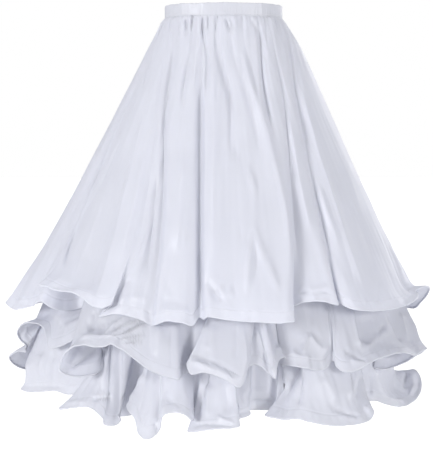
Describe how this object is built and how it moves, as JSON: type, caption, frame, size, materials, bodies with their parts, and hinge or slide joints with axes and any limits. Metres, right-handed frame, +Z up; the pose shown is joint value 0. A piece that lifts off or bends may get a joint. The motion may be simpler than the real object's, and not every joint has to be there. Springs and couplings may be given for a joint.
{
  "type": "belly dance skirt",
  "caption": "Floor-length layered dance skirt: narrow elastic waistband over tiers of white satin gathered from it, with fluted, rolled hems.",
  "frame": {"origin": "middle of the waistband, where the wearer holds the skirt up", "axes": "+Z up, -Y the front of the skirt, +X the right-hand side as seen from the front"},
  "size_m": [0.9951, 0.7607, 0.9179],
  "materials": {
    "skirt_satin": "soft sheen, light satin cloth, single layer slightly translucent",
    "waistband_casing": "matt to soft sheen, satin casing over elastic"
  },
  "bodies": {
    "root": {"waistband": "waistband_casing", "upper_tier_front": "skirt_satin", "upper_tier_back": "skirt_satin", "middle_tier_front": "skirt_satin", "middle_tier_back": "skirt_satin", "lower_tier_front": "skirt_satin", "lower_tier_back": "skirt_satin"}
  },
  "joints": []
}
